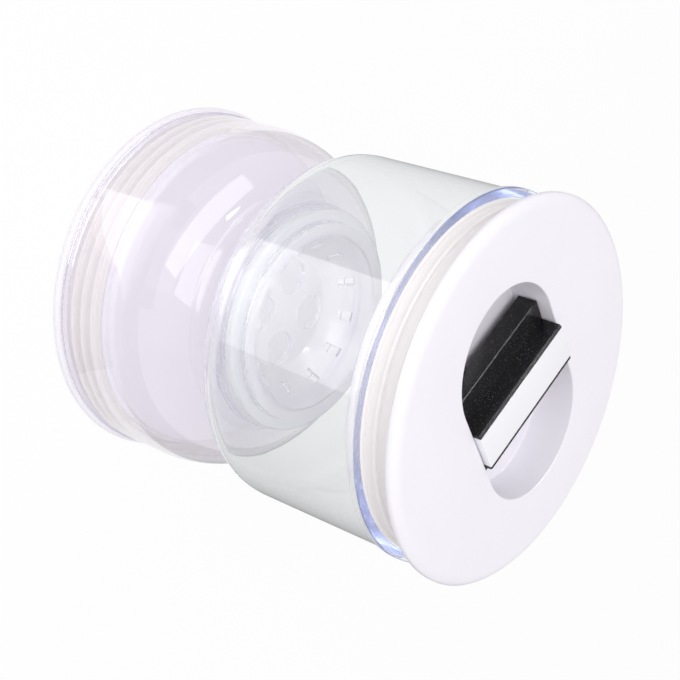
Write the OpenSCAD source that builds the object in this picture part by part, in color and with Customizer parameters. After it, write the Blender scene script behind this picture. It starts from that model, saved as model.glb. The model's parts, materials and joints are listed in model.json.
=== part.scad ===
// Hourglass pickle container: two clear chambers joined at the waist by a bayonet,
// a lift-out strainer between them, and a push-in lid with a pull-up grip at each end.
// The container stands on its rear lid. Z runs along the jar's axis, from the base up.
// The front lid, on top, is drawn partly pulled out of its mouth.

/* [Chambers] */
// Outside diameter of the large chamber
large_cup_od = 99.4; // [92:0.2:106]
// How much wider the small chamber is than the large one
small_cup_extra = 2; // [0:0.2:3]
// Wall thickness of the chambers
cup_wall = 1.7; // [1.2:0.1:2.5]
// Height of the large chamber, mouth to floor
large_cup_h = 57.2; // [50:0.2:80]
// Height of the small chamber, mouth to roof
small_cup_h = 44.8; // [42:0.2:70]
// Outside radius of the large chamber's shoulder
large_shoulder_r = 10.4; // [6:0.2:14]
// Outside radius of the small chamber's dome
small_shoulder_r = 26; // [18:0.5:28]
// How far the bead at the small chamber's mouth stands out from its wall
small_rim_bead = 0.4; // [0.3:0.1:1.2]
// Height of the bead at each mouth
rim_bead_h = 2.4; // [1.6:0.1:4]

/* [Waist] */
// Outside diameter of the spigot under the large chamber
spigot_od = 56; // [50:0.5:60]
// Wall thickness of the spigot
spigot_wall = 1.8; // [1.2:0.1:2.4]
// Gap between the two chambers at the waist, which the seal fills
waist_gap = 3.2; // [2:0.1:5]
// Width of the flat land that the waist seal sits on
land_w = 4.7; // [4:0.1:6]
// Height of the land, from the bayonet lugs to the seal
land_h = 3.6; // [3:0.1:5]
// Number of bayonet lugs
lug_count = 3; // [2:1:4]
// Angle that one lug spans
lug_angle = 30; // [15:1:36]
// How far a lug stands out from the spigot
lug_reach = 2.2; // [1.5:0.1:3]
// Height of a lug
lug_h = 2.4; // [1.5:0.1:3]
// Turn from locked to open
twist_angle = 52; // [40:1:60]

/* [Strainer] */
// Depth of the strainer's bowl under its flange
strainer_depth = 12.2; // [8:0.2:18]
// Outside diameter of the bowl's floor
strainer_floor_d = 35.4; // [28:0.2:44]
// Wall thickness of the strainer
strainer_wall = 1.5; // [1:0.1:2]
// How far the flange rests on the large chamber's floor
strainer_ledge = 2.6; // [2:0.2:6]
// Number of drain holes round the bowl's floor
drain_count = 4; // [3:1:4]
// Diameter of a drain hole
drain_d = 10.4; // [4:0.2:11]

/* [Lids] */
// Diameter of a lid's flange
lid_d = 104; // [98:0.2:116]
// Thickness of a lid's flange
lid_t = 3.2; // [2.6:0.1:5]
// Width of the rolled edge round a lid's face
roll_w = 3; // [1:0.1:5]
// Drop of the rolled edge, from the face to the rim
roll_h = 1.6; // [0.6:0.1:1.8]
// Room left between the pushed-down grip and the plug's floor
plug_room = 0.5; // [0.3:0.1:3]
// Wall thickness of the plug
plug_wall = 1.8; // [1.2:0.1:2.4]
// Height of the ring that locates the plug under the flange
locating_h = 4; // [2:0.2:6]
// How far the front lid is pulled out of its mouth
front_lid_lift = 10.1; // [0:0.1:14]

/* [Gasket] */
// Height of the gasket's band
gasket_h = 13.6; // [11:0.2:15]
// Thickness of the gasket's band
gasket_t = 0.8; // [0.6:0.1:1.2]
// Number of sealing ribs
rib_count = 3; // [1:1:4]
// Thickness of one rib
rib_t = 1.2; // [0.6:0.1:1.6]
// How far the ribs stand out from the band
rib_reach = 1.3; // [0.6:0.1:2]

/* [Finger pocket] */
// Width of the pocket, along the grip bar
pocket_w = 40; // [34:0.2:46]
// Length of the pocket, across the grip bar
pocket_l = 66.6; // [56:0.2:72]
// Depth of the pocket
pocket_depth = 11.7; // [10:0.1:15]
// Wall thickness of the pocket
pocket_wall = 1.6; // [1.2:0.1:2.4]
// Radius of the rounding along the pocket's rim
pocket_lip = 0.4; // [0.2:0.1:1.8]

/* [Grip] */
// Width of the grip bar's top
grip_w = 13.6; // [9:0.1:16]
// Width of the step at the foot of the grip bar
grip_foot_w = 27.4; // [18:0.2:28]
// Height of the grip bar above the step
grip_bar_h = 5.7; // [4:0.1:8]
// Black edge left beside the strip on top of the bar
grip_edge = 1.2; // [0.4:0.1:2]
// Thickness of the white strip let into the top of the bar
strip_t = 3; // [0.5:0.1:4]
// How far the grip stands above the flange when it is pulled up
grip_proud = 1.8; // [1:0.1:4]
// How far below the flange the grip lies when it is pushed down
grip_sunk = 0.2; // [0:0.1:1]
// Diameter of the two stems under the grip bar
stem_d = 5; // [4:0.2:7]
// Distance between the two stems
stem_pitch = 22; // [16:0.5:26]
// Thickness of the clip that holds the stems
clip_t = 1.2; // [0.8:0.1:1.6]

/* [Hidden] */
$fn = 96;
// Gap between faces of pieces that move on each other
slip = 0.3;
// Gap between flat faces that meet, and between pieces fixed together
seat = 0.1;
// Radial gap of a stem in its guide hole
running = 0.08;
// Overlap that keeps cuts clean
eps = 0.01;
edge_r = 0.7;

large_r = large_cup_od / 2;
small_r = large_r + small_cup_extra / 2;
// The beads at both mouths end at one radius
large_rim_bead = small_rim_bead + small_cup_extra / 2;
large_mouth_r = large_r - cup_wall;
small_mouth_r = small_r - cup_wall;
lid_r = lid_d / 2;
spigot_r = spigot_od / 2;
spigot_bore_r = spigot_r - spigot_wall;
lug_r = spigot_r + lug_reach;
land_bore_r = spigot_r + slip;
land_r = land_bore_r + land_w;

// Heights along the axis, from the base up
small_mouth_z = lid_t + seat;
small_roof_z = small_mouth_z + small_cup_h;
large_floor_z = small_roof_z + waist_gap;
large_mouth_z = large_floor_z + large_cup_h;
front_face_z = large_mouth_z + seat + lid_t + front_lid_lift;
land_z = small_roof_z - land_h;
lug_top_z = land_z - slip;
spigot_end_z = lug_top_z - lug_h;

// Radii of the plug and gasket, worked inwards from the radius of their mouth
function band_r(mouth_r) = mouth_r - slip - rib_reach;
function plug_r(mouth_r) = band_r(mouth_r) - gasket_t;
function plug_bore_r(mouth_r) = plug_r(mouth_r) - plug_wall;
bead_h = plug_wall * 2 / 3;
// Radius of an arc that is level with the face where the roll starts
roll_arc_r = (pow(roll_w, 2) + pow(roll_h, 2)) / (2 * roll_h);
gasket_top = -lid_t;
gasket_end = gasket_top - gasket_h;

pocket_end_r = pocket_w / 2;
pocket_half = pocket_l / 2 - pocket_end_r;
pocket_floor = -pocket_depth;
pocket_under = pocket_floor - pocket_wall;

grip_l = pocket_w - 2 * slip;
// Pushed down, the foot rests on the pocket's floor
grip_h = pocket_depth - grip_sunk - seat;
grip_foot_h = grip_h - grip_bar_h;
strip_w = grip_w - 2 * grip_edge;
grip_travel = grip_proud + grip_sunk;
stem_r = stem_d / 2;
groove_r = stem_r * 3 / 4;
// The clip's top meets the underside of the pocket when the grip is pulled up
clip_top = pocket_under - seat;
clip_end = clip_top - clip_t;
stem_end = clip_end - clip_t;
clip_w = stem_d + 4;
// The plug is deep enough for the stems when the grip is pushed down
plug_end = stem_end - grip_travel - plug_room - plug_wall;
plug_depth = -lid_t - plug_end;

strainer_r = spigot_bore_r - slip;
strainer_flange_r = spigot_bore_r + strainer_ledge;
strainer_floor_r = strainer_floor_d / 2;
strainer_floor_z = large_floor_z + cup_wall - strainer_depth;
strainer_seat_z = large_floor_z + cup_wall + seat;
drain_ring_r = strainer_floor_r - strainer_wall - drain_d / 2 - 0.5;
slot_w = 3;
slot_count = 12;

// Half section of a solid cup with a rounded bottom edge, floor at 0 and mouth at h
module cup_section(r, h, edge) {
    translate([0, edge]) square([r, h - edge]);
    square([r - edge, edge + eps]);
    intersection() {
        translate([r - edge, edge]) circle(edge);
        translate([r - edge - eps, 0]) square([edge + eps, edge + eps]);
    }
}

// Thin chamber with a rounded floor edge, and a bead round the mouth whose arc spans rim_bead_h
module chamber(r, h, edge, bead) {
    bead_arc_r = (pow(rim_bead_h / 2, 2) + pow(bead, 2)) / (2 * bead);
    rotate_extrude() {
        difference() {
            cup_section(r, h, edge);
            translate([0, cup_wall]) cup_section(r - cup_wall, h, edge - cup_wall);
        }
        intersection() {
            translate([r + bead - bead_arc_r, h - rim_bead_h / 2]) circle(bead_arc_r);
            translate([r - cup_wall / 2, h - rim_bead_h])
                square([bead + cup_wall / 2, rim_bead_h]);
        }
    }
}

module tube(outer, inner, h) {
    difference() {
        cylinder(r = outer, h = h);
        translate([0, 0, -eps]) cylinder(r = inner, h = h + 2 * eps);
    }
}

// Sector of a ring, centred on the X axis
module ring_sector(outer, inner, h, angle) {
    rotate([0, 0, -angle / 2]) rotate_extrude(angle = angle)
        translate([inner, 0]) square([outer - inner, h]);
}

module lug_ring(outer, inner, h, angle) {
    for (i = [0 : lug_count - 1]) rotate([0, 0, i * 360 / lug_count])
        ring_sector(outer, inner, h, angle);
}

module large_cup() {
    color([0.90, 0.92, 0.95, 0.35]) {
        difference() {
            translate([0, 0, large_floor_z])
                chamber(large_r, large_cup_h, large_shoulder_r, large_rim_bead);
            translate([0, 0, large_floor_z - eps])
                cylinder(r = spigot_bore_r, h = cup_wall + 2 * eps);
        }
        translate([0, 0, spigot_end_z])
            tube(spigot_r, spigot_bore_r, large_floor_z + cup_wall / 2 - spigot_end_z);
        translate([0, 0, spigot_end_z])
            lug_ring(lug_r, spigot_r - spigot_wall / 2, lug_h, lug_angle);
    }
}

module small_cup() {
    color([0.92, 0.91, 0.95, 0.35]) difference() {
        union() {
            translate([0, 0, small_roof_z]) mirror([0, 0, 1])
                chamber(small_r, small_cup_h, small_shoulder_r, small_rim_bead);
            translate([0, 0, land_z]) cylinder(r = land_r, h = land_h);
        }
        translate([0, 0, land_z - eps]) cylinder(r = land_bore_r, h = land_h + 2 * eps);
        translate([0, 0, land_z - eps]) rotate([0, 0, twist_angle])
            lug_ring(lug_r + slip, spigot_r, land_h + 2 * eps, lug_angle + 4);
    }
}

module waist_seal() {
    seal_inset = land_w / 8;
    color([0.95, 0.94, 0.96]) translate([0, 0, small_roof_z + seat])
        tube(land_r - seal_inset, land_bore_r + seal_inset, waist_gap - seat);
}

// Bowl with a flange, a ring of drain holes in its floor and slots up its side
module strainer() {
    bowl_h = strainer_seat_z - strainer_floor_z;
    rim_in_r = strainer_r - strainer_wall;
    color([0.93, 0.93, 0.97, 0.5]) difference() {
        translate([0, 0, strainer_floor_z]) union() {
            cylinder(r1 = strainer_floor_r, r2 = strainer_r, h = bowl_h);
            translate([0, 0, bowl_h]) cylinder(r = strainer_flange_r, h = strainer_wall);
        }
        translate([0, 0, strainer_floor_z + strainer_wall])
            cylinder(r1 = strainer_floor_r - strainer_wall, r2 = rim_in_r,
                     h = bowl_h + eps);
        for (i = [0 : drain_count - 1]) rotate([0, 0, (i + 0.5) * 360 / drain_count])
            translate([drain_ring_r, 0, strainer_floor_z - eps])
                cylinder(d = drain_d, h = strainer_wall + 2 * eps);
        for (i = [0 : slot_count - 1]) rotate([0, 0, (i + 0.5) * 360 / slot_count])
            translate([strainer_floor_r - strainer_wall, -slot_w / 2,
                       strainer_floor_z + bowl_h / 3])
                cube([strainer_r, slot_w, bowl_h / 3]);
    }
}

// Stadium outline of the finger pocket, grown by a margin
module pocket_outline(margin) {
    r = pocket_end_r + margin;
    for (y = [-1, 1]) translate([0, y * pocket_half]) circle(r);
    square([2 * r, 2 * pocket_half], center = true);
}

// Corner that is cut off the pocket's rim: wall at x = 0, face at y = 0
module lip_section() {
    difference() {
        translate([-eps, -pocket_lip]) square([pocket_lip + eps, pocket_lip + eps]);
        translate([pocket_lip, -pocket_lip]) circle(pocket_lip);
    }
}

module pocket_lip_cut() {
    for (turn = [0, 180]) rotate([0, 0, turn]) {
        translate([0, pocket_half, 0]) rotate_extrude(angle = 180)
            translate([pocket_end_r, 0]) lip_section();
        translate([pocket_end_r, 0, 0]) rotate([90, 0, 0])
            linear_extrude(2 * pocket_half, center = true) lip_section();
    }
}

// The lid modules are drawn with the flange's outer face at z = 0, facing +Z

module lid_cover(mouth_r) {
    locating_r = plug_bore_r(mouth_r) - seat;
    color([0.96, 0.95, 0.98]) difference() {
        union() {
            rotate_extrude() {
                translate([0, -lid_t]) square([lid_r - roll_w, lid_t]);
                translate([0, -lid_t]) square([lid_r - edge_r, lid_t - roll_h]);
                translate([0, -lid_t + edge_r]) square([lid_r, lid_t - edge_r - roll_h]);
                translate([lid_r - edge_r, -lid_t + edge_r]) circle(edge_r);
                intersection() {
                    translate([lid_r - roll_w, -roll_arc_r]) circle(roll_arc_r);
                    translate([lid_r - roll_w - eps, -roll_h - eps])
                        square([roll_w + eps, roll_h + eps]);
                }
            }
            translate([0, 0, pocket_under])
                linear_extrude(-pocket_under - lid_t / 2) pocket_outline(pocket_wall);
            translate([0, 0, -lid_t - locating_h])
                tube(locating_r, locating_r - plug_wall, locating_h + lid_t / 2);
        }
        translate([0, 0, pocket_floor]) linear_extrude(pocket_depth + eps) pocket_outline(0);
        pocket_lip_cut();
        for (x = [-1, 1]) translate([x * stem_pitch / 2, 0, pocket_under - eps])
            cylinder(r = stem_r + running, h = pocket_wall + 2 * eps);
    }
}

module lid_plug(mouth_r) {
    outer_r = plug_r(mouth_r);
    color([0.95, 0.94, 0.97]) translate([0, 0, plug_end]) {
        difference() {
            cylinder(r = outer_r, h = plug_depth);
            translate([0, 0, plug_wall]) cylinder(r = plug_bore_r(mouth_r), h = plug_depth);
        }
        translate([0, 0, gasket_end - seat - bead_h - plug_end])
            tube(band_r(mouth_r), outer_r - plug_wall / 2, bead_h);
    }
}

module lid_gasket(mouth_r) {
    inner_r = plug_r(mouth_r);
    rib_pitch = gasket_h / (rib_count + 0.5);
    color([0.97, 0.95, 0.94]) rotate_extrude() {
        translate([inner_r, gasket_end]) square([gasket_t, gasket_h]);
        for (i = [0 : rib_count - 1])
            translate([inner_r + gasket_t / 2, gasket_top - (i + 0.75) * rib_pitch - rib_t / 2])
                union() {
                    square([rib_reach + gasket_t / 2 - rib_t / 2, rib_t]);
                    translate([rib_reach + gasket_t / 2 - rib_t / 2, rib_t / 2]) circle(rib_t / 2);
                }
    }
}

// The grip modules are drawn pulled up, with the strip's top at z = grip_proud

module grip_core() {
    foot_z = grip_proud - grip_h;
    color([0.10, 0.10, 0.11]) {
        translate([-grip_l / 2, -grip_foot_w / 2, foot_z])
            cube([grip_l, grip_foot_w, grip_foot_h]);
        difference() {
            translate([-grip_l / 2, -grip_w / 2, foot_z + grip_foot_h - eps])
                cube([grip_l, grip_w, grip_bar_h + eps]);
            translate([-grip_l / 2 - eps, -strip_w / 2, grip_proud - strip_t])
                cube([grip_l + 2 * eps, strip_w, strip_t + eps]);
        }
        for (x = [-1, 1]) translate([x * stem_pitch / 2, 0, 0]) {
            translate([0, 0, clip_top]) cylinder(r = stem_r, h = foot_z - clip_top + eps);
            translate([0, 0, clip_end]) cylinder(r = groove_r, h = clip_t + eps);
            translate([0, 0, stem_end]) cylinder(r = stem_r, h = clip_t + eps);
        }
    }
}

module grip_strip() {
    color([0.98, 0.98, 0.99]) translate([-grip_l / 2, -strip_w / 2, grip_proud - strip_t])
        cube([grip_l, strip_w, strip_t]);
}

// Flat clip that slides sideways into the grooves of both stems
module grip_clip() {
    clip_l = stem_pitch + clip_w;
    slot = groove_r + running;
    color([0.85, 0.85, 0.87]) translate([0, 0, clip_end + eps]) difference() {
        translate([-clip_l / 2, -clip_w / 2, 0]) cube([clip_l, clip_w, clip_t - 2 * eps]);
        for (x = [-1, 1]) translate([x * stem_pitch / 2, 0, -eps]) {
            cylinder(r = slot, h = clip_t + 2 * eps);
            translate([-slot, 0, 0]) cube([2 * slot, clip_w, clip_t + 2 * eps]);
        }
    }
}

module at_front() { translate([0, 0, front_face_z]) children(); }
module at_rear() { rotate([180, 0, 0]) children(); }
module pushed_down() { translate([0, 0, -grip_travel]) children(); }

large_cup();
small_cup();
waist_seal();
strainer();
at_front() lid_cover(large_mouth_r);  // front_cover
at_front() lid_plug(large_mouth_r);  // front_plug
at_front() lid_gasket(large_mouth_r);  // front_gasket
at_front() grip_core();  // front_grip_core
at_front() grip_strip();  // front_grip_strip
at_front() grip_clip();  // front_grip_clip
at_rear() lid_cover(small_mouth_r);  // rear_cover
at_rear() lid_plug(small_mouth_r);  // rear_plug
at_rear() lid_gasket(small_mouth_r);  // rear_gasket
at_rear() pushed_down() grip_core();  // rear_grip_core
at_rear() pushed_down() grip_strip();  // rear_grip_strip
at_rear() pushed_down() grip_clip();  // rear_grip_clip
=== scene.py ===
# %% [markdown]
# # An hourglass pickle container
# Two clear cups meet at a narrow waist, a strainer hangs between them, and a white lid with
# a pull-up grip closes each end. Turned over, the brine runs through the strainer and leaves
# the pickles dry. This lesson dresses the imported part: each moulding is modelled again with
# soft edges, and gets the plastic or silicone that the real one is made of.

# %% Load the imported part
import json
import math

import bmesh
import bpy
from mathutils import Matrix, Quaternion, Vector


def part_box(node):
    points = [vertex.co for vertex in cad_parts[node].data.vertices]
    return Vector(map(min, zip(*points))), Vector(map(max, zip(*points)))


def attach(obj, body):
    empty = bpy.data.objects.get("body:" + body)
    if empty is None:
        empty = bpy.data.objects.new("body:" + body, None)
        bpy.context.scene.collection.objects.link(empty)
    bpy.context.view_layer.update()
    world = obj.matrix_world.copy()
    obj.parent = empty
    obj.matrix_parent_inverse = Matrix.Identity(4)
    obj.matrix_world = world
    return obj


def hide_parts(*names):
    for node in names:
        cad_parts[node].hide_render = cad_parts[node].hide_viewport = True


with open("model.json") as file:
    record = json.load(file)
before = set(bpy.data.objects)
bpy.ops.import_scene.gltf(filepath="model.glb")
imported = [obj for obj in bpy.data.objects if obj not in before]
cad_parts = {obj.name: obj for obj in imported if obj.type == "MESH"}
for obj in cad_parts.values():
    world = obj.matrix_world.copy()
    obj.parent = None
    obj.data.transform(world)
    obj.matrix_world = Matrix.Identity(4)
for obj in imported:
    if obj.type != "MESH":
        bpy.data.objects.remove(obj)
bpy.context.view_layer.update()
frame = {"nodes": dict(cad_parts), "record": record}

MM = 0.001
SCENE = bpy.context.scene
SCENE.view_settings.view_transform = "Standard"
LIGHT_BOUNCES = 96
SCENE.cycles.max_bounces = LIGHT_BOUNCES
SCENE.cycles.transmission_bounces = LIGHT_BOUNCES
SCENE.cycles.glossy_bounces = LIGHT_BOUNCES

# %% [markdown]
# ## Where things are
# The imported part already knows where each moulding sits, so heights and radii are read from
# it. One lookup says which body carries a node, another which finish it takes.

# %% Read places from the frame
BODY_OF = {node: body
           for body, nodes in frame["record"]["behaviour"]["bodies"].items()
           for node in nodes}


def span(node):
    """Lowest and highest corner of a node, in millimetres."""
    low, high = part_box(node)
    return low / MM, high / MM


spigot_end_z, large_mouth_z = (corner.z for corner in span("large_cup"))
small_mouth_z, small_roof_z = (corner.z for corner in span("small_cup"))
large_floor_z = span("waist_seal")[1].z
front_face_z = span("front_cover")[1].z
print("front lid's face at", round(front_face_z, 1), "mm,",
      "large mouth at", round(large_mouth_z, 1), "mm")

# %% [markdown]
# ## Camera
# The photograph looks down on the jar from one side with a longish lens, and the jar lies
# across the picture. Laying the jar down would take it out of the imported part's place, so it
# stands upright and the camera is rolled instead: it is aimed at a point near the axis and
# then turned about its own line of sight.

# %% Set up the camera
LENS = 75.98
SENSOR = 36.0
AIM = Vector((-1.93, -1.15, 62.63)) * MM
DISTANCE = 399.1 * MM
AZIMUTH = math.radians(120.92)
ELEVATION = math.radians(35.85)
ROLL = math.radians(109.43)

towards_camera = Vector((math.cos(ELEVATION) * math.cos(AZIMUTH),
                         math.cos(ELEVATION) * math.sin(AZIMUTH),
                         math.sin(ELEVATION)))
camera = bpy.data.objects.new("camera", bpy.data.cameras.new("camera"))
SCENE.collection.objects.link(camera)
camera.data.lens = LENS
camera.data.sensor_width = SENSOR
camera.rotation_mode = "QUATERNION"
camera.rotation_quaternion = (towards_camera.to_track_quat("Z", "Y")
                              @ Quaternion((0, 0, 1), ROLL))
camera.location = AIM + DISTANCE * towards_camera
SCENE.camera = camera
print("camera at", [round(x / MM) for x in camera.location], "mm")

# %% [markdown]
# ## Colours
# Colours are written the way a paint chart gives them, as sRGB hex, and shaders want them
# linear. One function turns the one into the other, so no colour is converted by hand.

# %% Turn hex into linear colour


def linear(code):
    """Linear RGBA of an sRGB hex colour such as '#f4f3f8'."""
    channels = [int(code[i:i + 2], 16) / 255 for i in (1, 3, 5)]
    return [c / 12.92 if c <= 0.04045 else ((c + 0.055) / 1.055) ** 2.4
            for c in channels] + [1.0]


print("#808080 is", round(linear("#808080")[0], 3), "in linear light")

# %% [markdown]
# ## Nodes
# Materials could be wired by hand in the editor. Here one small function adds a node, sets its
# values and links it, so that a material reads as a list of what happens to the light. Every
# material starts from the same few nodes, and the size of a pattern is given in millimetres.

# %% Helpers for nodes


def add_node(tree, kind, values=None, links=None, **settings):
    """Adds a node; values and links are keyed by the name or number of the input socket."""
    made = tree.nodes.new(kind)
    for name, value in settings.items():
        setattr(made, name, value)
    for socket, value in (values or {}).items():
        made.inputs[socket].default_value = value
    for socket, source in (links or {}).items():
        tree.links.new(source, made.inputs[socket])
    return made


def new_material(name):
    """An empty material with its output, its Principled shader and its Object coordinates."""
    material = bpy.data.materials.new(name)
    material.use_nodes = True
    tree = material.node_tree
    tree.nodes.clear()
    shader = add_node(tree, "ShaderNodeBsdfPrincipled")
    add_node(tree, "ShaderNodeOutputMaterial", links={"Surface": shader.outputs[0]})
    place = add_node(tree, "ShaderNodeTexCoord").outputs["Object"]
    return material, tree, shader, place


def output_of(tree):
    """The material output of a node tree."""
    return next(node for node in tree.nodes if node.type == "OUTPUT_MATERIAL")


def per_mm(size):
    """Scale of a texture whose features are that many millimetres apart."""
    return 1 / (size * MM)


print("a pattern 1 mm wide has a scale of", round(per_mm(1)))

# %% [markdown]
# ## Clear styrene
# The cups are injection moulded from a clear styrene, polished in the tool. A thin shell with
# a tinted transparent shader would be quicker, but it has no bright or coloured edges, so the
# walls are solid and bend the light.
# Straight through a wall it only takes a little of the light, which is the shader's colour.
# Light that runs along the wall, from the mouth to the shoulder, crosses much more plastic and
# comes out with a blue-violet cast. A volume that absorbs some red and green gives just that:
# the longer the way through the plastic, the deeper the colour. Such light turns many times
# inside the wall, so the scene allows many bounces. A slow noise stands for the flow lines.
# The strainer is natural polypropylene and the waist's seal clear silicone: both are milky,
# so part of the light spreads in them as in a white body and softens what shows through.

# %% Make a clear plastic
FLOW_SPACING = 18
FLOW_HEIGHT = 0.2
FLOW_STRENGTH = 0.04


def clear_moulded(name, wall_hex, cast_hex, density, ior=1.5, haze=0.03, milk=0.0):
    """Clear plastic: what a wall lets through, and what a long way through it leaves of white."""
    material, tree, shader, place = new_material(name)
    shader.inputs["Base Color"].default_value = linear(wall_hex)
    shader.inputs["Transmission Weight"].default_value = 1.0 - milk
    shader.inputs["IOR"].default_value = ior
    flow = add_node(tree, "ShaderNodeTexNoise", links={"Vector": place},
                    values={"Scale": per_mm(FLOW_SPACING), "Detail": 2.0})
    gloss = add_node(tree, "ShaderNodeMapRange", links={"Value": flow.outputs[0]},
                     values={"To Min": 0.0, "To Max": haze})
    tree.links.new(gloss.outputs[0], shader.inputs["Roughness"])
    ripple = add_node(tree, "ShaderNodeBump", links={"Height": flow.outputs[0]},
                      values={"Strength": FLOW_STRENGTH, "Distance": FLOW_HEIGHT * MM})
    tree.links.new(ripple.outputs[0], shader.inputs["Normal"])
    cast = add_node(tree, "ShaderNodeVolumeAbsorption",
                    values={"Color": linear(cast_hex), "Density": density})
    tree.links.new(cast.outputs[0], output_of(tree).inputs["Volume"])
    return material


print("flow lines about", FLOW_SPACING, "mm apart")

# %% Mix the clear plastics
# Polished styrene: sharp reflections, white straight through and blue along the wall.
large_clear = clear_moulded("clear_styrene_large", wall_hex="#fcfdfd", cast_hex="#8ea6e6",
                            density=5.2)
# The same styrene with a violet cast, which shows on the domed cup.
small_clear = clear_moulded("clear_styrene_small", wall_hex="#f6f3f7", cast_hex="#a29be2",
                            density=5.5)
# Natural polypropylene: milky, so what lies behind it goes soft.
strainer_clear = clear_moulded("natural_polypropylene", wall_hex="#fdfcfd",
                               cast_hex="#b8b0e4", density=3.0, ior=1.49, haze=0.25, milk=0.45)
# Clear silicone: a little milkier, with a dull skin.
seal_silicone = clear_moulded("clear_silicone", wall_hex="#fbfafc", cast_hex="#c4bfe8",
                              density=3.0, ior=1.41, haze=0.3, milk=0.5)
print("clear plastics:", ", ".join(material.name for material in (
    large_clear, small_clear, strainer_clear, seal_silicone)))

# %% [markdown]
# ## White ABS, black ABS and silicone
# The lids are white ABS with a fine satin texture from the tool, a touch lavender. The grip
# is black ABS, smoother, so that its flats mirror the pocket. The gaskets are silicone, warmer
# and softer than the lids. One flat colour would look like paint, so a slow noise lets colour
# and roughness drift a little, and a fine one is the tool's grain. A real grain is about a
# tenth of a millimetre, finer than a pixel, so it is drawn several times as coarse.

# %% Make a moulded plastic
DRIFT_SPACING = 14
ROUGHNESS_DRIFT = 0.04
GRAIN_STRENGTH = 0.25


def moulded(name, colour, roughness, grain, depth, specks=None, shine=0.5):
    """Moulded plastic; grain, depth and the specks' spacing and size are in millimetres."""
    material, tree, shader, place = new_material(name)
    shader.inputs["Specular IOR Level"].default_value = shine
    drift = add_node(tree, "ShaderNodeTexNoise", links={"Vector": place},
                     values={"Scale": per_mm(DRIFT_SPACING), "Detail": 3.0})
    low, high = (linear(shade) for shade in colour)
    tone = add_node(tree, "ShaderNodeMix", data_type="RGBA",
                    links={0: drift.outputs[0]}, values={6: low, 7: high})
    paint = tone.outputs[2]
    if specks:
        spacing, size, speck_hex = specks
        dots = add_node(tree, "ShaderNodeTexVoronoi", links={"Vector": place},
                        values={"Scale": per_mm(spacing)})
        near = add_node(tree, "ShaderNodeMath", operation="LESS_THAN",
                        links={0: dots.outputs["Distance"]}, values={1: size / spacing})
        paint = add_node(tree, "ShaderNodeMix", data_type="RGBA",
                         links={0: near.outputs[0], 6: paint},
                         values={7: linear(speck_hex)}).outputs[2]
    tree.links.new(paint, shader.inputs["Base Color"])
    rough = add_node(tree, "ShaderNodeMapRange", links={"Value": drift.outputs[0]},
                     values={"To Min": roughness - ROUGHNESS_DRIFT,
                             "To Max": roughness + ROUGHNESS_DRIFT})
    tree.links.new(rough.outputs[0], shader.inputs["Roughness"])
    texture = add_node(tree, "ShaderNodeTexNoise", links={"Vector": place},
                       values={"Scale": per_mm(grain), "Detail": 2.0})
    bump = add_node(tree, "ShaderNodeBump", links={"Height": texture.outputs[0]},
                    values={"Strength": GRAIN_STRENGTH, "Distance": depth * MM})
    tree.links.new(bump.outputs[0], shader.inputs["Normal"])
    return material


print("colour and roughness drift over about", DRIFT_SPACING, "mm")

# %% Mix the opaque plastics
# Satin ABS: a broad, soft shine on a white with a touch of lavender.
white_abs = moulded("white_abs", ("#f2eff7", "#f6f3fa"),
                    roughness=0.36, grain=0.5, depth=0.01)
# Smooth ABS: black flats that mirror what is near. Its pale specks are drawn coarser than the
# real ones, which would be lost between pixels.
black_abs = moulded("black_abs", ("#121113", "#18171a"),
                    roughness=0.16, grain=0.4, depth=0.01,
                    specks=(0.45, 0.055, "#98969c"), shine=0.3)
# Glossy ABS: a clean white bar with a clear shine.
strip_abs = moulded("white_abs_gloss", ("#f2f1f6", "#f5f4f9"),
                    roughness=0.2, grain=0.6, depth=0.005)
# Silicone: a warm white with hardly any shine.
silicone = moulded("white_silicone", ("#efebec", "#f4f1f1"),
                   roughness=0.5, grain=0.8, depth=0.01)
# Polypropylene: a plain, waxy grey.
grey_pp = moulded("grey_polypropylene", ("#b9b9be", "#c6c6ca"),
                  roughness=0.4, grain=0.5, depth=0.01)
print("opaque plastics:", ", ".join(material.name for material in (
    white_abs, black_abs, strip_abs, silicone, grey_pp)))

# %% [markdown]
# ## Turned mouldings
# Cups, plugs, gaskets and the seal are all bodies of revolution. Each starts as a flat
# outline of radius and height. Its corners are rounded with a vertex bevel while it is still
# one flat face, and the edges are then spun round the axis, which is how a lathe sees it. A
# Screw modifier would do as well, but a spun bmesh can be measured and joined at once.

# %% Helpers for turning
TURN_STEPS = 160
LEAST_STEPS = 6
ROUND_STEPS = 4
WIDE_ROUNDING = 3
WIDE_ROUND_STEPS = 20
# These two are in metres, as the mesh is.
AXIS_R = 1e-6
MERGE_WITHIN = 1e-7


def arc(centre_r, centre_z, radius, start, end, count):
    """Points of an arc in the outline's plane; angles in degrees, from outwards to up."""
    angles = [math.radians(start + (end - start) * i / count) for i in range(count + 1)]
    return [(centre_r + radius * math.cos(a), centre_z + radius * math.sin(a), 0)
            for a in angles]


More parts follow.
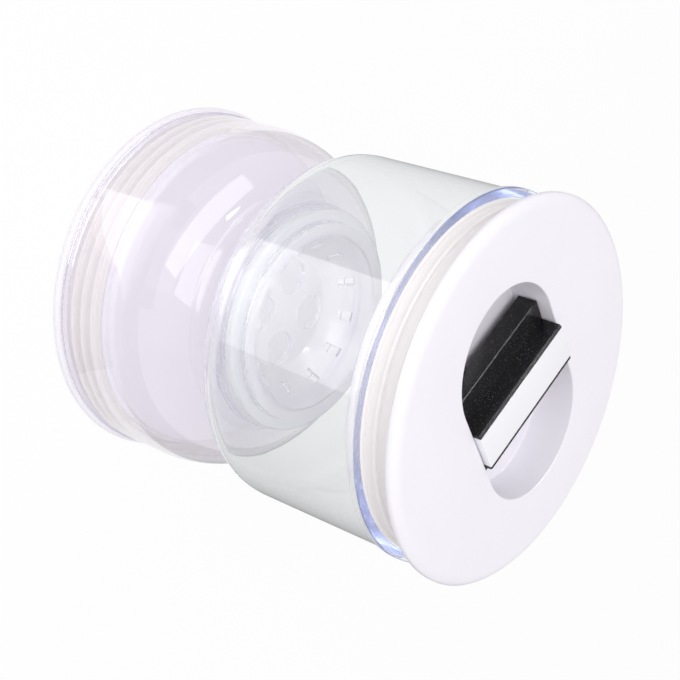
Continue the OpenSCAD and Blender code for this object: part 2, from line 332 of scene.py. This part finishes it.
def turned(outline, angle=360, start=0, steps=TURN_STEPS):
    """A turned body as a new bmesh; the outline lists radius, height and rounding in mm."""
    bm = bmesh.new()
    corners = [bm.verts.new((r * MM, 0, z * MM)) for r, z, _ in outline]
    bm.faces.new(corners)
    for rounding in sorted({rounding for _, _, rounding in outline if rounding}):
        picked = [corner for corner, (_, _, r) in zip(corners, outline) if r == rounding]
        bmesh.ops.bevel(bm, geom=picked, offset=rounding * MM, offset_type="OFFSET",
                        segments=ROUND_STEPS if rounding < WIDE_ROUNDING else WIDE_ROUND_STEPS,
                        profile=0.5, affect="VERTICES", material=-1, clamp_overlap=False)
    full = angle == 360
    if full:
        bmesh.ops.delete(bm, geom=bm.faces[:], context="FACES_ONLY")
        on_axis = [edge for edge in bm.edges if all(abs(v.co.x) < AXIS_R for v in edge.verts)]
        bmesh.ops.delete(bm, geom=on_axis, context="EDGES")
    bmesh.ops.rotate(bm, verts=bm.verts, cent=(0, 0, 0),
                     matrix=Matrix.Rotation(math.radians(start), 3, "Z"))
    bmesh.ops.spin(bm, geom=bm.verts[:] + bm.edges[:] + bm.faces[:], cent=(0, 0, 0),
                   axis=(0, 0, 1), angle=math.radians(angle),
                   steps=max(LEAST_STEPS, round(steps * angle / 360)), use_merge=full)
    bmesh.ops.remove_doubles(bm, verts=bm.verts, dist=MERGE_WITHIN)
    return bm


print("a full turn has", TURN_STEPS, "steps")

# %% [markdown]
# ## From mesh to piece
# A finished bmesh becomes an object that stands for one CAD node and moves with its body. Edges
# sharper than a limit keep a crease, the rest are shaded smooth. Open edges and the volume are
# printed, because a hole in the mesh would spoil both the light and the exported shape.

# %% Helpers for pieces
SHARP_ANGLE = math.radians(38)


def join(bm, other):
    """Adds one bmesh to another and frees it."""
    carrier = bpy.data.meshes.new("carrier")
    other.to_mesh(carrier)
    other.free()
    bm.from_mesh(carrier)
    bpy.data.meshes.remove(carrier)


def make_piece(bm, node, material, place=Matrix.Identity(4), sharp=SHARP_ANGLE):
    """Closes a bmesh into the piece that stands for a CAD node, on that node's body."""
    bmesh.ops.transform(bm, matrix=place, verts=bm.verts)
    bmesh.ops.remove_doubles(bm, verts=bm.verts, dist=MERGE_WITHIN)
    loose = [edge for edge in bm.edges if not edge.link_faces]
    bmesh.ops.delete(bm, geom=loose, context="EDGES")
    bmesh.ops.recalc_face_normals(bm, faces=bm.faces)
    for face in bm.faces:
        face.smooth = True
    for edge in bm.edges:
        edge.smooth = edge.calc_face_angle(0) < sharp
    gaps = sum(not edge.is_manifold for edge in bm.edges)
    volume = bm.calc_volume(signed=True) / MM ** 3 / 1000
    piece = bpy.data.objects.new(node + "_moulding", bpy.data.meshes.new(node + "_moulding"))
    bm.to_mesh(piece.data)
    bm.free()
    piece.data.materials.append(material)
    SCENE.collection.objects.link(piece)
    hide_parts(node)
    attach(piece, BODY_OF[node])
    print(piece.name, len(piece.data.polygons), "faces,", gaps, "open edges,",
          round(volume, 2), "ml of plastic")


print("edges over", round(math.degrees(SHARP_ANGLE)), "degrees stay sharp")

# %% [markdown]
# ## The large cup
# The cup nearest the camera: a straight wall with a tight shoulder, a bead round the mouth
# and a short spigot underneath with three bayonet lugs. A single skin would do for an opaque
# cup, but the wall has its real thickness here, because clear plastic only looks right when
# light crosses both of its faces. The bead is drawn a little less proud than the solid's, as
# it looks in the photograph. The lugs are turned by themselves and sunk into the spigot.

# %% Turn the large cup
CUP_WALL = 1.7
RIM_BEAD_H = 2.4
LARGE_BEAD = 1.4
LARGE_BEAD_SEEN = 0.9
LARGE_SHOULDER_R = 10.4
SPIGOT_R = 28.0
SPIGOT_WALL = 1.8
LUG_COUNT = 3
LUG_ANGLE = 30
LUG_H = 2.4
LUG_REACH = 2.2
EDGE = 0.4

large_r = span("large_cup")[1].x - LARGE_BEAD
large_rim_r = large_r + LARGE_BEAD_SEEN
spigot_bore_r = SPIGOT_R - SPIGOT_WALL
large_bead_z = large_mouth_z - RIM_BEAD_H
bm = turned([
    (spigot_bore_r, spigot_end_z, EDGE),
    (SPIGOT_R, spigot_end_z, EDGE),
    (SPIGOT_R, large_floor_z, 2 * EDGE),
    (large_r, large_floor_z, LARGE_SHOULDER_R),
    (large_r, large_bead_z, EDGE / 2),
    (large_rim_r, large_bead_z, EDGE),
    (large_rim_r, large_mouth_z, EDGE),
    (large_r - CUP_WALL, large_mouth_z, EDGE),
    (large_r - CUP_WALL, large_floor_z + CUP_WALL, LARGE_SHOULDER_R - CUP_WALL),
    (spigot_bore_r, large_floor_z + CUP_WALL, EDGE)])
lug_r = SPIGOT_R + LUG_REACH
lug_root_r = SPIGOT_R - SPIGOT_WALL / 2
lug_z = spigot_end_z + EDGE
for i in range(LUG_COUNT):
    join(bm, turned([(lug_root_r, lug_z, 0), (lug_r, lug_z, EDGE),
                     (lug_r, spigot_end_z + LUG_H, EDGE),
                     (lug_root_r, spigot_end_z + LUG_H, 0)],
                    angle=LUG_ANGLE, start=i * 360 / LUG_COUNT - LUG_ANGLE / 2))
make_piece(bm, "large_cup", large_clear)

# %% [markdown]
# ## The small cup
# The second cup is shallower and domed towards the waist. Its roof ends in a flat land, which
# carries the seal and turns on the spigot. The dome is drawn as two arcs with one centre, so
# its wall stays even, and it is turned in finer steps, because it mirrors the lamps.

# %% Turn the small cup
SMALL_BEAD = 0.4
DOME_R = 26.0
LAND_R = 33.0
LAND_H = 3.6
BORE_R = 28.3
DOME_STEPS = 20

small_rim_r = span("small_cup")[1].x
small_r = small_rim_r - SMALL_BEAD
small_bead_z = small_mouth_z + RIM_BEAD_H
land_z = small_roof_z - LAND_H
dome_r = small_r - DOME_R
dome_z = small_roof_z - DOME_R
inner_dome_r = DOME_R - CUP_WALL
outer_start = math.degrees(math.acos((LAND_R - dome_r) / DOME_R))
inner_start = math.degrees(math.acos((LAND_R - dome_r) / inner_dome_r))
bm = turned([
    (BORE_R, land_z, EDGE),
    (BORE_R, small_roof_z, EDGE),
    (LAND_R, small_roof_z, EDGE)]
    + arc(dome_r, dome_z, DOME_R, outer_start, 0, DOME_STEPS) + [
    (small_r, small_bead_z, 0),
    (small_rim_r, small_bead_z - SMALL_BEAD, SMALL_BEAD / 2),
    (small_rim_r, small_mouth_z, SMALL_BEAD),
    (small_r - CUP_WALL, small_mouth_z, EDGE)]
    + arc(dome_r, dome_z, inner_dome_r, 0, inner_start, DOME_STEPS) + [
    (LAND_R, land_z, 0)], steps=2 * TURN_STEPS)
make_piece(bm, "small_cup", small_clear)

# %% [markdown]
# ## The waist seal
# A soft ring between the two cups, with rounded edges. Two clear pieces may not share a face,
# because the ray that leaves one could miss that it enters the other, so a hair's breadth of
# air is left above it.

# %% Turn the seal
SEAL_BORE_R = 28.9
SEAL_AIR = 0.05
SEAL_INNER_ROUND = 0.6
SEAL_OUTER_ROUND = 0.9

seal_low, seal_high = span("waist_seal")
seal_top_z = seal_high.z - SEAL_AIR
bm = turned([
    (SEAL_BORE_R, seal_low.z, SEAL_INNER_ROUND),
    (seal_high.x, seal_low.z, SEAL_OUTER_ROUND),
    (seal_high.x, seal_top_z, SEAL_OUTER_ROUND),
    (SEAL_BORE_R, seal_top_z, SEAL_INNER_ROUND)])
make_piece(bm, "waist_seal", seal_silicone)

# %% [markdown]
# ## The strainer
# A shallow bowl with a flange that rests on the large cup's floor. Booleans could cut its holes
# out of a turned bowl, but they leave slivers along each cut. So it starts as a thin sheet: the
# floor is filled between its edge and four round drains, the side is bridged up to the rim,
# slots are left out of the side, and the whole sheet then gets its wall. The flange is
# filled between two rings, not bridged: a bridge between rings at one level can't tell which
# way round they run.

# %% Lay out the strainer
STRAINER_WALL = 1.5
STRAINER_FLOOR_R = 17.7
STRAINER_RIM_R = 25.9
RING_STEPS = 96


def ring(bm, radius, z, steps=RING_STEPS, centre=(0, 0)):
    """Edges of a level circle; sizes in millimetres."""
    made = bmesh.ops.create_circle(bm, segments=steps, radius=radius * MM,
                                   matrix=Matrix.Translation((centre[0] * MM, centre[1] * MM,
                                                              z * MM)))
    return list(dict.fromkeys(edge for vert in made["verts"] for edge in vert.link_edges))


strainer_low, strainer_high = span("strainer")
flange_z = strainer_high.z - STRAINER_WALL
bowl_h = flange_z - strainer_low.z
print("bowl", round(bowl_h, 1), "mm deep below its flange")

# %% Fill the strainer's floor round its drains
FLOOR_ROUND = 1
DRAIN_COUNT = 4
DRAIN_D = 10.4
DRAIN_INSET = 0.5
DRAIN_STEPS = 40

drain_ring_r = STRAINER_FLOOR_R - STRAINER_WALL - DRAIN_D / 2 - DRAIN_INSET
bm = bmesh.new()
floor_edge = ring(bm, STRAINER_FLOOR_R - FLOOR_ROUND, strainer_low.z)
drains = []
for i in range(DRAIN_COUNT):
    turn_angle = math.radians((i + 0.5) * 360 / DRAIN_COUNT)
    drains += ring(bm, DRAIN_D / 2, strainer_low.z, DRAIN_STEPS,
                   (drain_ring_r * math.cos(turn_angle), drain_ring_r * math.sin(turn_angle)))
bmesh.ops.triangle_fill(bm, edges=floor_edge + drains, use_beauty=True)
print(DRAIN_COUNT, "drains,", round(drain_ring_r, 1), "mm from the axis")

# %% Bridge the strainer's side and leave out its slots
SIDE_SHARES = (1 / 3, 2 / 3, 0.95)
SLOT_ROW = 2
SLOT_COUNT = 12

levels = [(STRAINER_FLOOR_R, strainer_low.z + FLOOR_ROUND)]
levels += [(STRAINER_FLOOR_R + (STRAINER_RIM_R - STRAINER_FLOOR_R) * share,
            strainer_low.z + bowl_h * share) for share in SIDE_SHARES]
levels += [(STRAINER_RIM_R, flange_z)]
below = floor_edge
for row, (radius, z) in enumerate(levels):
    above = ring(bm, radius, z)
    side = bmesh.ops.bridge_loops(bm, edges=below + above)["faces"]
    if row == SLOT_ROW:
        pitch = 360 / SLOT_COUNT
        window = 360 / RING_STEPS
        slots = []
        for face in side:
            centre = face.calc_center_median()
            turned_by = math.degrees(math.atan2(centre.y, centre.x)) % pitch
            if abs(turned_by - pitch / 2) < window:
                slots.append(face)
        bmesh.ops.delete(bm, geom=slots, context="FACES_ONLY")
        print(len(slots), "faces left out for", SLOT_COUNT, "slots")
    below = above

# %% Add the strainer's flange and its wall
bmesh.ops.triangle_fill(bm, edges=below + ring(bm, strainer_high.x, flange_z), use_beauty=True)
bmesh.ops.recalc_face_normals(bm, faces=bm.faces)
if sum(face.normal.z * face.calc_area() for face in bm.faces) > 0:
    bmesh.ops.reverse_faces(bm, faces=bm.faces)
bmesh.ops.solidify(bm, geom=bm.faces[:], thickness=STRAINER_WALL * MM)
make_piece(bm, "strainer", strainer_clear)

# %% [markdown]
# ## Lid covers
# A lid's cover is a disc with a rolled edge, and an oblong pocket sunk into its face. It isn't
# round all over, so it can't be turned. The flat faces, the underside among them, are filled
# between two outlines, and everything that curves is bridged from outline to outline: the
# rolled edge, the rim, the pocket's lip and its wall. The skin then gets its thickness.

# %% Helpers for outlines
POCKET_HALF = 13.3
POCKET_STEPS = 96


def oblong(bm, radius, z):
    """Edges of the pocket's outline: two half circles joined by straight sides."""
    made = bmesh.ops.create_circle(bm, segments=POCKET_STEPS, radius=radius * MM,
                                   matrix=Matrix.Translation((0, 0, z * MM)))
    half_step = Matrix.Rotation(math.pi / POCKET_STEPS, 3, "Z")
    bmesh.ops.rotate(bm, verts=made["verts"], cent=(0, 0, 0), matrix=half_step)
    for side in (1, -1):
        end = [vert for vert in made["verts"] if vert.co.y * side > 0]
        bmesh.ops.translate(bm, verts=end, vec=(0, side * POCKET_HALF * MM, 0))
    return list(dict.fromkeys(edge for vert in made["verts"] for edge in vert.link_edges))


def bridge_all(bm, rings):
    """Joins each outline to the next with a strip of faces."""
    for first, second in zip(rings, rings[1:]):
        bmesh.ops.bridge_loops(bm, edges=first + second)


print("pocket's half circles", round(2 * POCKET_HALF, 1), "mm apart")

# %% Model a cover
LID_T = front_face_z - span("front_gasket")[1].z
LID_STEPS = 192
ROLL_W = 3.0
ROLL_H = 1.6
ROLL_STEPS = 8
RIM_EDGE = 0.7
RIM_STEPS = 4
COVER_WALL = 1.4
UNDERSIDE_R = 44.5
POCKET_R = 20.0
POCKET_DEPTH = 11.7
POCKET_LIP = 0.4
POCKET_FILLET = 0.5
POCKET_ARC_STEPS = 5
STEM_R = 2.5
STEM_PITCH = 22.0
STEM_ROOM = 0.1
STEM_STEPS = 32


def cover_mesh(lid_r):
    """A lid cover with its outer face at zero, facing up."""
    bm = bmesh.new()
    roll_r = (ROLL_W ** 2 + ROLL_H ** 2) / (2 * ROLL_H)
    roll_end = math.degrees(math.acos(ROLL_W / roll_r))
    edge_line = (arc(lid_r - ROLL_W, -roll_r, roll_r, 90, roll_end, ROLL_STEPS)
                 + arc(lid_r - RIM_EDGE, RIM_EDGE - LID_T, RIM_EDGE, 0, -90, RIM_STEPS))
    pocket_line = (arc(POCKET_R + POCKET_LIP, -POCKET_LIP, POCKET_LIP, 90, 180,
                       POCKET_ARC_STEPS)
                   + arc(POCKET_R - POCKET_FILLET, POCKET_FILLET - POCKET_DEPTH,
                         POCKET_FILLET, 0, -90, POCKET_ARC_STEPS))
    edge = [ring(bm, radius, z, LID_STEPS) for radius, z, _ in edge_line]
    pocket = [oblong(bm, radius, z) for radius, z, _ in pocket_line]
    stems = [side for x in (-1, 1)
             for side in ring(bm, STEM_R + STEM_ROOM, -POCKET_DEPTH, STEM_STEPS,
                              (x * STEM_PITCH / 2, 0))]
    bmesh.ops.triangle_fill(bm, edges=edge[0] + pocket[0], use_beauty=True)
    bmesh.ops.triangle_fill(bm, edges=pocket[-1] + stems, use_beauty=True)
    underside = ring(bm, UNDERSIDE_R, -LID_T, LID_STEPS)
    bmesh.ops.triangle_fill(bm, edges=edge[-1] + underside, use_beauty=True)
    bridge_all(bm, edge)
    bridge_all(bm, pocket)
    bmesh.ops.recalc_face_normals(bm, faces=bm.faces)
    top = max(bm.faces, key=lambda face: face.calc_center_median().z)
    if top.normal.z < 0:
        bmesh.ops.reverse_faces(bm, faces=bm.faces)
    bmesh.ops.solidify(bm, geom=bm.faces[:], thickness=COVER_WALL * MM)
    return bm


print("lid", round(LID_T, 1), "mm thick, pocket", POCKET_DEPTH, "mm deep")

# %% Put a cover on each end
LID_PLACE = {"front": Matrix.Translation((0, 0, front_face_z * MM)),
             "rear": Matrix.Rotation(math.pi, 4, "X")}
for end, place in LID_PLACE.items():
    make_piece(cover_mesh(span(end + "_cover")[1].x), end + "_cover", white_abs, place)

# %% [markdown]
# ## Plugs and gaskets
# Under each cover a cup-shaped plug goes into the mouth, with a silicone gasket round it. The
# gasket's three ribs are what shows between the raised lid and the jar. Both are turned from
# outlines that start at the lid's face, so that one outline serves both ends.

# %% Draw the plug and the gasket
PLUG_WALL = 1.8
PLUG_ROUND = 1.5
PLUG_INNER_ROUND = 1
PLUG_BEAD_H = 1.2
PLUG_BEAD_GAP = 0.1
BAND_ROUND = 0.2
GASKET_T = 0.8
GASKET_H = 13.6
RIB_COUNT = 3
RIB_T = 1.2
RIB_REACH = 1.3
RIB_START = 0.75
RIB_SPARE = 0.5
RIB_ROOT_ROUND = 0.3
RIB_NOSE_ROUND = 0.55


def plug_outline(band_r, depth):
    """Cup-shaped plug, with a small bead under the gasket."""
    plug_r = band_r - GASKET_T
    bore_r = plug_r - PLUG_WALL
    bead_z = -LID_T - GASKET_H - PLUG_BEAD_GAP
    return [(0, depth, 0), (plug_r, depth, PLUG_ROUND),
            (plug_r, bead_z - PLUG_BEAD_H, 0), (band_r, bead_z - PLUG_BEAD_H, EDGE),
            (band_r, bead_z, EDGE), (plug_r, bead_z, 0),
            (plug_r, -LID_T, BAND_ROUND), (bore_r, -LID_T, BAND_ROUND),
            (bore_r, depth + PLUG_WALL, PLUG_INNER_ROUND), (0, depth + PLUG_WALL, 0)]


def gasket_outline(rib_r):
    """Band with round-nosed ribs."""
    band_r = rib_r - RIB_REACH
    pitch = GASKET_H / (RIB_COUNT + RIB_SPARE)
    outline = [(band_r - GASKET_T, -LID_T, 0), (band_r, -LID_T, BAND_ROUND)]
    for i in range(RIB_COUNT):
        rib_z = -LID_T - (i + RIB_START) * pitch
        outline += [(band_r, rib_z + RIB_T / 2, RIB_ROOT_ROUND),
                    (rib_r, rib_z + RIB_T / 2, RIB_NOSE_ROUND),
                    (rib_r, rib_z - RIB_T / 2, RIB_NOSE_ROUND),
                    (band_r, rib_z - RIB_T / 2, RIB_ROOT_ROUND)]
    return outline + [(band_r, -LID_T - GASKET_H, BAND_ROUND),
                      (band_r - GASKET_T, -LID_T - GASKET_H, 0)]


print(RIB_COUNT, "ribs on a band", GASKET_H, "mm high")

# %% Turn the plugs and gaskets
for end, place in LID_PLACE.items():
    rib_r = span(end + "_gasket")[1].x
    plug_low, plug_high = span(end + "_plug")
    depth = -LID_T - (plug_high.z - plug_low.z)
    make_piece(turned(plug_outline(rib_r - RIB_REACH, depth)), end + "_plug", white_abs, place)
    make_piece(turned(gasket_outline(rib_r)), end + "_gasket", silicone, place)

# %% [markdown]
# ## Grips
# The grip is a stepped bar across the pocket: a broad foot, a narrow bar on it, and a white
# strip let into the bar's top. Stacked boxes would leave hidden faces where they meet, so its
# section is one outline, extruded along the bar. The bar's long top edges have a flat chamfer,
# and every other outward edge a smaller one: flat chamfers mirror a lamp over their whole
# width, and so draw the light lines along the black. A low limit for creases keeps them flat
# in the shading too.

# %% Helpers for the grips' edges
GRIP_BEVEL = 0.22
SQUARE_ANGLE = math.radians(60)


def bevel_edges(bm, edges, offset, segments):
    """Chamfers edges, or rounds them with more than one segment; the offset is in mm."""
    bmesh.ops.bevel(bm, geom=edges, offset=offset * MM, offset_type="OFFSET",
                    segments=segments, profile=0.5, affect="EDGES", material=-1,
                    clamp_overlap=True)


def square_edges(bm):
    """Outward edges between faces that stand about square to each other."""
    return [edge for edge in bm.edges
            if edge.is_convex and edge.calc_face_angle(0) > SQUARE_ANGLE]


print("square edges are cut by", GRIP_BEVEL, "mm")

# %% Model a bar and its strip
GRIP_H = 11.4
GRIP_BAR_H = 5.7
GRIP_EDGE = 1.2
GRIP_CHAMFER = 0.5
STRIP_ROUND_STEPS = 3


def grip_mesh(length, bar, foot, strip_t, stem_end):
    """A stepped bar with its top at zero: foot and bar are half-widths."""
    strip = bar - GRIP_EDGE
    half = [(foot, -GRIP_H), (foot, -GRIP_BAR_H), (bar, -GRIP_BAR_H), (bar, -GRIP_CHAMFER),
            (bar - GRIP_CHAMFER, 0), (strip, 0), (strip, -strip_t)]
    section = half + [(-y, z) for y, z in reversed(half)]
    bm = bmesh.new()
    corners = [bm.verts.new((-length / 2 * MM, y * MM, z * MM)) for y, z in section]
    far = bmesh.ops.extrude_face_region(bm, geom=[bm.faces.new(corners)])["geom"]
    bmesh.ops.translate(bm, vec=(length * MM, 0, 0),
                        verts=[item for item in far if isinstance(item, bmesh.types.BMVert)])
    bmesh.ops.recalc_face_normals(bm, faces=bm.faces)
    bevel_edges(bm, square_edges(bm), GRIP_BEVEL, 1)
    stem_l = -GRIP_H - stem_end
    for x in (-1, 1):
        place = Matrix.Translation((x * STEM_PITCH / 2 * MM, 0, (stem_end + stem_l / 2) * MM))
        bmesh.ops.create_cone(bm, cap_ends=True, segments=STEM_STEPS, radius1=STEM_R * MM,
                              radius2=STEM_R * MM, depth=stem_l * MM, matrix=place)
    return bm


def strip_mesh(length, half_width, strip_t):
    """The strip with its top at zero."""
    bm = bmesh.new()
    size = Matrix.Diagonal((length * MM, 2 * half_width * MM, strip_t * MM, 1))
    bmesh.ops.create_cube(bm, size=1,
                          matrix=Matrix.Translation((0, 0, -strip_t / 2 * MM)) @ size)
    bevel_edges(bm, square_edges(bm), GRIP_BEVEL, STRIP_ROUND_STEPS)
    return bm


print("bar", GRIP_H, "mm high, its foot", round(GRIP_H - GRIP_BAR_H, 1), "mm")

# %% Put a grip in each pocket
GRIP_SHARP = math.radians(20)

for end, place in LID_PLACE.items():
    core_low, core_high = span(end + "_grip_core")
    strip_low, strip_high = span(end + "_grip_strip")
    top = strip_high.z - front_face_z if end == "front" else -strip_low.z
    seat = place @ Matrix.Translation((0, 0, top * MM))
    length = core_high.x - core_low.x
    strip_t = strip_high.z - strip_low.z
    core = grip_mesh(length, strip_high.y + GRIP_EDGE, core_high.y, strip_t,
                     core_low.z - core_high.z)
    make_piece(core, end + "_grip_core", black_abs, seat, sharp=GRIP_SHARP)
    make_piece(strip_mesh(length, strip_high.y, strip_t), end + "_grip_strip", strip_abs, seat)
    clip = frame["nodes"][end + "_grip_clip"]
    clip.data.materials.clear()
    clip.data.materials.append(grey_pp)
    print(end + "_grip_clip keeps its CAD shape, in", grey_pp.name)

# %% [markdown]
# ## Floor and backdrop
# The jar is shot on white: a sheet of white paper for a floor, in a white studio. The camera,
# reflections and what shows through the plastic see both as plain white; for the light that
# falls on the jar the studio is a little dimmer. The paper keeps a small share of its real
# shading, and with it the jar's shadow. Seen through the cups, its glow is painted darker
# towards minus x: a painted shade that stands for the jar's shadow on the table.

# %% Make the paper
PAPER_ROUGHNESS = 0.9
FLOOR_GLOW = 0.93
SHADE_FROM, SHADE_TO = 60, -15
SHADE = 0.16


def seen_directly(tree):
    """1 for rays from the camera, from reflections and through clear plastic."""
    path = add_node(tree, "ShaderNodeLightPath")
    both = add_node(tree, "ShaderNodeMath", operation="MAXIMUM",
                    links={0: path.outputs["Is Camera Ray"], 1: path.outputs["Is Glossy Ray"]})
    return add_node(tree, "ShaderNodeMath", operation="MAXIMUM",
                    links={0: both.outputs[0], 1: path.outputs["Is Transmission Ray"]})


# Matt paper: white all over, with a faint soft shadow, and a painted shade on one side where it
# is seen through the cups.
floor_material, tree, shader, place = new_material("white_paper")
shader.inputs["Base Color"].default_value = linear("#f6f6f6")
shader.inputs["Roughness"].default_value = PAPER_ROUGHNESS
across = add_node(tree, "ShaderNodeSeparateXYZ", links={0: place})
# Painted shade: seen through clear plastic, the paper's glow fades darker towards minus x.
shade = add_node(tree, "ShaderNodeMapRange", links={"Value": across.outputs["X"]},
                 values={"From Min": SHADE_FROM * MM, "From Max": SHADE_TO * MM,
                         "To Min": 0.0, "To Max": -SHADE})
through = add_node(tree, "ShaderNodeLightPath").outputs["Is Transmission Ray"]
white = add_node(tree, "ShaderNodeMath", operation="MULTIPLY_ADD",
                 links={0: through, 1: shade.outputs[0]}, values={2: 1.0})
glow = add_node(tree, "ShaderNodeEmission", links={"Strength": white.outputs[0]})
share = add_node(tree, "ShaderNodeMath", operation="MULTIPLY",
                 links={0: seen_directly(tree).outputs[0]}, values={1: FLOOR_GLOW})
paper = add_node(tree, "ShaderNodeMixShader",
                 links={0: share.outputs[0], 1: shader.outputs[0], 2: glow.outputs[0]})
tree.links.new(paper.outputs[0], output_of(tree).inputs["Surface"])
print(floor_material.name, "keeps", round(1 - FLOOR_GLOW, 2), "of its shading")

# %% Lay the floor
FLOOR_R = 1.5
FLOOR_DROP = 0.1

bm = bmesh.new()
bmesh.ops.create_circle(bm, cap_ends=True, segments=RING_STEPS, radius=FLOOR_R,
                        matrix=Matrix.Translation((0, 0, -FLOOR_DROP * MM)))
floor = bpy.data.objects.new("floor", bpy.data.meshes.new("floor"))
bm.to_mesh(floor.data)
bm.free()
floor.data.materials.append(floor_material)
SCENE.collection.objects.link(floor)
print("floor", FLOOR_DROP, "mm below the jar")

# %% Light the studio
WORLD_LIGHT = 0.68

world = bpy.data.worlds.new("white_studio")
world.use_nodes = True
SCENE.world = world
tree = world.node_tree
tree.nodes.clear()
strength = add_node(tree, "ShaderNodeMapRange", links={"Value": seen_directly(tree).outputs[0]},
                    values={"To Min": WORLD_LIGHT, "To Max": 1.0})
sky = add_node(tree, "ShaderNodeBackground", values={"Color": (1, 1, 1, 1)},
               links={"Strength": strength.outputs[0]})
add_node(tree, "ShaderNodeOutputWorld", links={"Surface": sky.outputs[0]})
print("the studio lights the jar at", WORLD_LIGHT)

# %% [markdown]
# ## Lamps
# Soft lamps give the even light of a studio photograph, where small ones would draw hard
# shadows into the pocket. A key lamp above the camera shines on the lid's face and down into
# its pocket, and a weaker fill lamp reaches the gaskets under the lids. The other lamps are
# there only to be mirrored. A broad one draws the bright band on the domed cup; a low one
# beside the jar has an edge that draws the step of light on the large cup; a small one is
# mirrored by the grip's chamfers, and its narrow beam keeps it off the cups.

# %% Helper for lamps
UP = (0, 0, 1)


def softbox(name, centre, facing, size, brightness, up=UP, spread=180, mirrored=True):
    """Soft lamp at a place in millimetres; it is either seen in mirrors or gives light."""
    lamp = bpy.data.objects.new(name, bpy.data.lights.new(name, "AREA"))
    lamp.data.shape = "RECTANGLE"
    lamp.data.size, lamp.data.size_y = size[0] * MM, size[1] * MM
    lamp.data.energy = brightness * math.pi * lamp.data.size * lamp.data.size_y
    lamp.data.spread = math.radians(spread)
    z = -Vector(facing).normalized()
    x = Vector(up).cross(z).normalized()
    turn = Matrix((x, z.cross(x), z)).transposed()
    lamp.rotation_mode = "QUATERNION"
    lamp.rotation_quaternion = turn.to_quaternion()
    lamp.location = Vector(centre) * MM
    lamp.visible_camera = False
    lamp.visible_glossy = mirrored
    lamp.visible_diffuse = not mirrored
    SCENE.collection.objects.link(lamp)
    print(name, round(lamp.data.energy, 2), "W")


print("lamps are upright along", UP)

# %% Set up the lamps
softbox("key_softbox", centre=(-208, 446, 710), facing=(208, -446, -630), size=(500, 500),
        brightness=3.2, mirrored=False)
softbox("fill_softbox", centre=(-248, 532, 185), facing=(248, -532, -125), size=(400, 400),
        brightness=0.7, mirrored=False)
softbox("window_softbox", centre=(70, 440, 290), facing=(-0.14, -0.88, -0.45), size=(750, 200),
        brightness=1.8)
softbox("low_softbox", centre=(-96, 153, 52), facing=(-0.079, -0.494, 0.866), size=(200, 200),
        brightness=0.8, up=(0.137, 0.855, 0.5), spread=125)
softbox("edge_softbox", centre=(243, 348, 534), facing=(-243, -390, -370), size=(150, 150),
        brightness=1.5, spread=20)

# %% [markdown]
# ## Cards for the clear walls
# On white, a clear wall shows only by what it mirrors, so a photographer lays cards round it.
# These cards glow and are seen by reflections alone, so they paint the reflections on the clear
# walls. A grey one lies over the floor, its glow painted darker to one side, a bright one lies
# close to the domed cup, and a dark strip stands behind the key side.

# %% Helpers for cards


def reflection_card(name, bm, along, start, end):
    """Card whose glow runs from one (place, strength) to another, along x or round the jar."""
    material, tree, _, place = new_material(name)
    if along == "bearing":
        ruler = add_node(tree, "ShaderNodeTexGradient", gradient_type="RADIAL",
                         links={"Vector": place}).outputs["Fac"]
    else:
        ruler = add_node(tree, "ShaderNodeSeparateXYZ", links={0: place}).outputs["X"]
    strength = add_node(tree, "ShaderNodeMapRange", links={"Value": ruler},
                        values={"From Min": start[0], "From Max": end[0],
                                "To Min": start[1], "To Max": end[1]})
    glow = add_node(tree, "ShaderNodeEmission", links={"Strength": strength.outputs[0]})
    tree.links.new(glow.outputs[0], output_of(tree).inputs["Surface"])
    card = bpy.data.objects.new(name, bpy.data.meshes.new(name))
    bm.to_mesh(card.data)
    bm.free()
    card.data.materials.append(material)
    card.visible_camera = card.visible_diffuse = False
    card.visible_transmission = card.visible_shadow = False
    SCENE.collection.objects.link(card)
    print(name, "glows from", start[1], "to", end[1])


def card_outline(inner_r, outer_r, low, high):
    """Outline of a flat or standing card that goes round the jar."""
    return [(inner_r, low, 0), (outer_r, low, 0), (outer_r, high, 0), (inner_r, high, 0)]


def bearing(degrees):
    """Where a bearing lies on a radial gradient, which counts turns from minus half a turn."""
    return degrees / 360 + 0.5


print("a bearing of 90 degrees lies at", bearing(90))

# %% Lay the cards
DARK_GLOW = 0.05
GREY_GLOW = 0.4
WHITE_GLOW = 1.0

# Painted reflections: the grey card over the floor glows dimmer towards minus x, the near card
# paints a bright band on the domed cup.
surround = card_outline(inner_r=80, outer_r=1400, low=1, high=1.5)
reflection_card("surround_card", turned(surround),
                along="x", start=(-160 * MM, DARK_GLOW), end=(60 * MM, GREY_GLOW))
near = card_outline(inner_r=54, outer_r=112, low=2, high=2.5)
reflection_card("near_card", turned(near, angle=73, start=97),
                along="bearing", start=(bearing(110), WHITE_GLOW), end=(bearing(168), GREY_GLOW))
back = card_outline(inner_r=400, outer_r=401, low=12, high=133)
reflection_card("back_card", turned(back, angle=65, start=80),
                along="x", start=(-1, DARK_GLOW), end=(1, DARK_GLOW))

# %% [markdown]
# ## Light through the clear pieces
# Light passes a clear wall and falls on what is behind it. A renderer finds such light only
# by chance, so the clear pieces cast no shadow, and light that goes from one white piece to
# another passes them by.

# %% Let the light through
CLEAR = ("large_cup", "small_cup", "strainer", "waist_seal")
for node in CLEAR:
    piece = bpy.data.objects[node + "_moulding"]
    piece.visible_shadow = False
    piece.visible_diffuse = False
print("light passes through", ", ".join(CLEAR))
